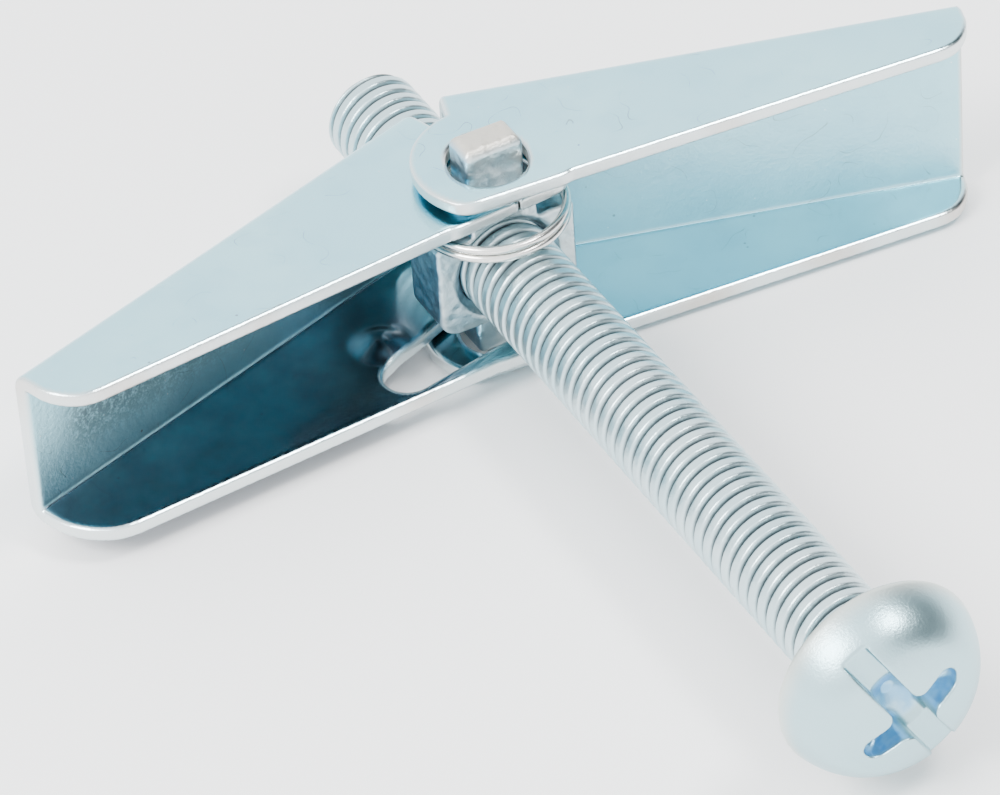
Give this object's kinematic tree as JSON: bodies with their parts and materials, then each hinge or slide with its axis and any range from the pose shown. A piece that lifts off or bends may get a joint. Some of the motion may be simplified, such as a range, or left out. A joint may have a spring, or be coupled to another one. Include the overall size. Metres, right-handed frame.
{
  "type": "spring toggle bolt",
  "caption": "Machine screw with a trunnion nut and two folding sheet-metal wings that spring open to clamp behind a hollow wall.",
  "frame": {"origin": "centre of the bearing face under the screw's head", "axes": "+Y along the screw from its head to its tip, +Z along the axis that the wings turn on, +X towards the outer wing"},
  "size_m": [0.0625, 0.0645, 0.0151],
  "materials": {
    "plated_screw": "bright zinc plate",
    "plated_nut": "rough zinc plate",
    "plated_sheet": "bluish zinc plate",
    "spring_wire": "bright drawn wire"
  },
  "bodies": {
    "nut": {"trunnion_nut": "plated_nut", "torsion_spring": "spring_wire"},
    "outer": {"wing_outer": "plated_sheet"},
    "inner": {"wing_inner": "plated_sheet"},
    "bolt": {"screw": "plated_screw"}
  },
  "joints": [
    {"name": "wing_outer_fold", "type": "hinge", "parent": "nut", "child": "outer", "pos_m": [0, 0.0435, 0], "axis": [0, 0, -1], "range_deg": [0, 73], "stiffness_Nm_per_rad": 0.02, "springref_deg": -28.65, "deforming": ["torsion_spring"]},
    {"name": "wing_inner_fold", "type": "hinge", "parent": "nut", "child": "inner", "pos_m": [0, 0.0435, 0], "axis": [0, 0, 1], "range_deg": [0, 71], "stiffness_Nm_per_rad": 0.02, "springref_deg": -28.65},
    {"name": "screw_travel", "type": "slide", "parent": "nut", "child": "bolt", "axis": [0, 1, 0], "range_m": [-0.012, 0.01]}
  ]
}
